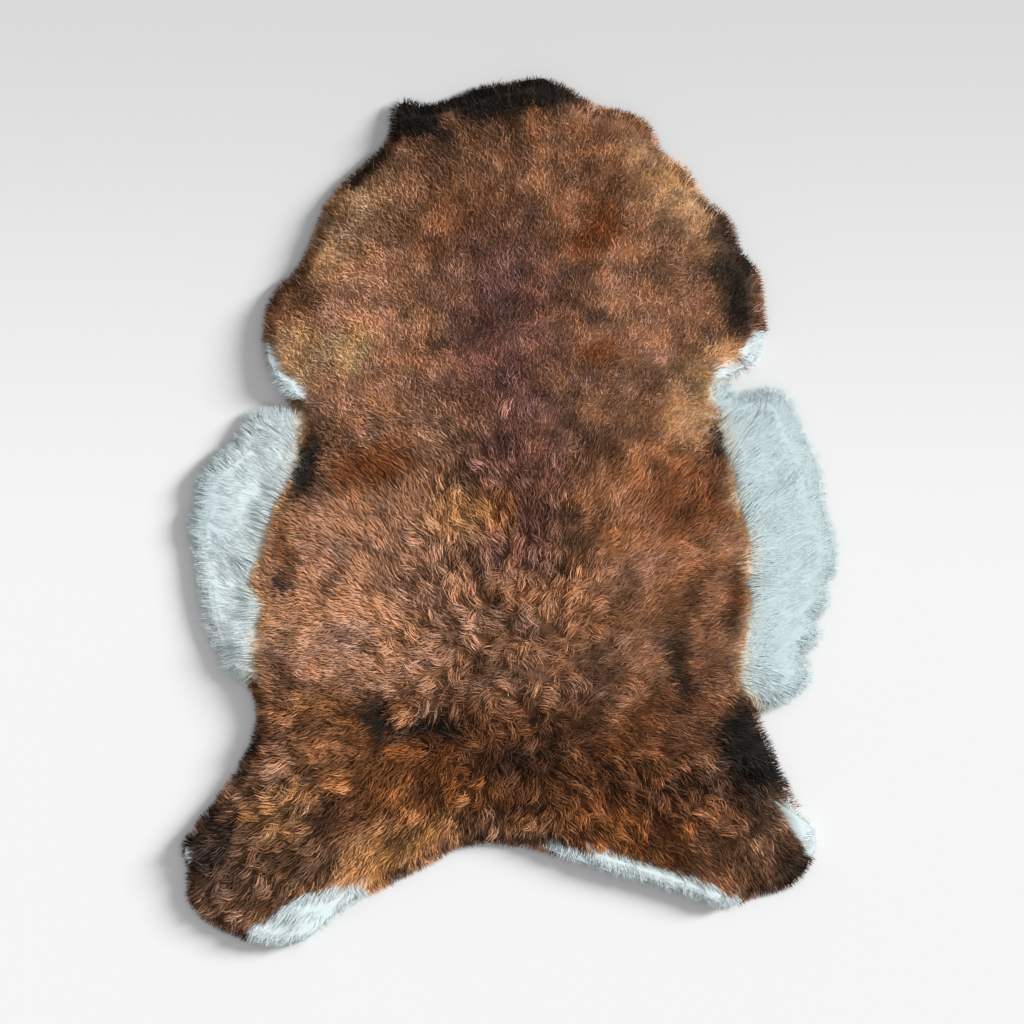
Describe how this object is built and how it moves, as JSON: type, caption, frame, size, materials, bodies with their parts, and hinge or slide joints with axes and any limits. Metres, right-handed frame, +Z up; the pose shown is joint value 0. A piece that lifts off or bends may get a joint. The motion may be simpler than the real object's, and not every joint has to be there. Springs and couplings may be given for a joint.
{
  "type": "shorn sheepskin",
  "caption": "Shorn sheepskin laid flat with its wool side up: a tanned hide with short brown wool, white flanks and leg edges, and a tufted rim, for a floor, seat or bed.",
  "frame": {"origin": "on the floor plane under the middle of the outline's box", "axes": "+Y runs along the spine to the neck, +X across the back to the right flank as seen from above, +Z up out of the wool"},
  "size_m": [0.794, 1.051, 0.029],
  "materials": {
    "brown_wool": "short dense wool, brown with dark and golden patches, matt",
    "white_wool": "short dense white belly wool, matt",
    "skin": "pale tanned skin with a suede back"
  },
  "bodies": {
    "root": {"sheepskin": "brown_wool"}
  },
  "joints": []
}
